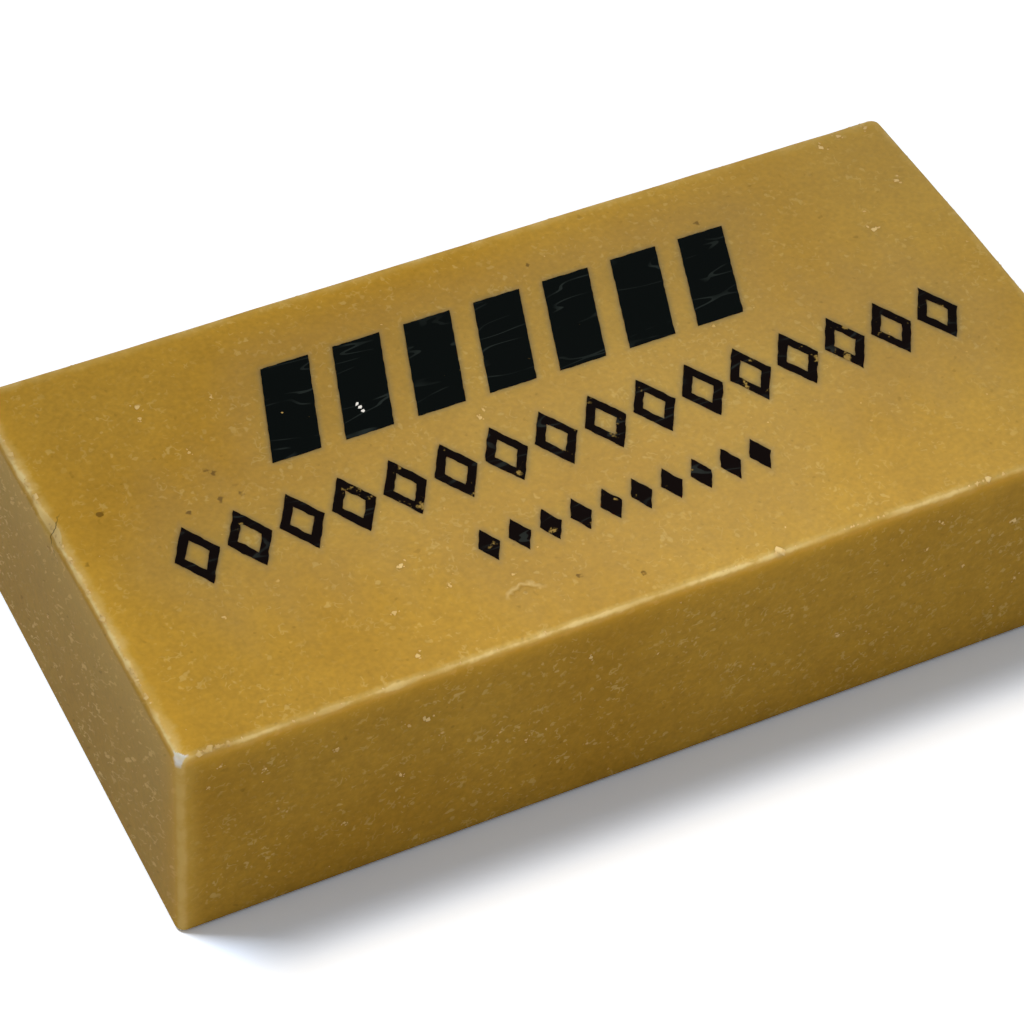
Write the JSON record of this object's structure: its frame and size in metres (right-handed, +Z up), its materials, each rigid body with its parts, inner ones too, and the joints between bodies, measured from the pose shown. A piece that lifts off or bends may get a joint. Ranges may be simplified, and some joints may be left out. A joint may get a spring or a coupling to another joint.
{
  "type": "gum eraser",
  "caption": "Rectangular block of soft tan gum compound for rubbing out pencil and cleaning paper, with worn rounded edges and a chipped corner.",
  "frame": {"origin": "middle of the base, on the surface that the block rests on", "axes": "+X along the length towards the right-hand end, +Y from the front face to the back face, +Z up through the top face; the chipped corner is at -X, -Y, +Z"},
  "size_m": [0.051, 0.025, 0.013],
  "materials": {
    "gum": "soft waxy matte, slightly translucent, finely mottled with pale crumbs along the edges",
    "print_ink": "thin dull black stamping ink, cracked and worn"
  },
  "bodies": {
    "root": {"eraser_block": "gum"}
  },
  "joints": []
}
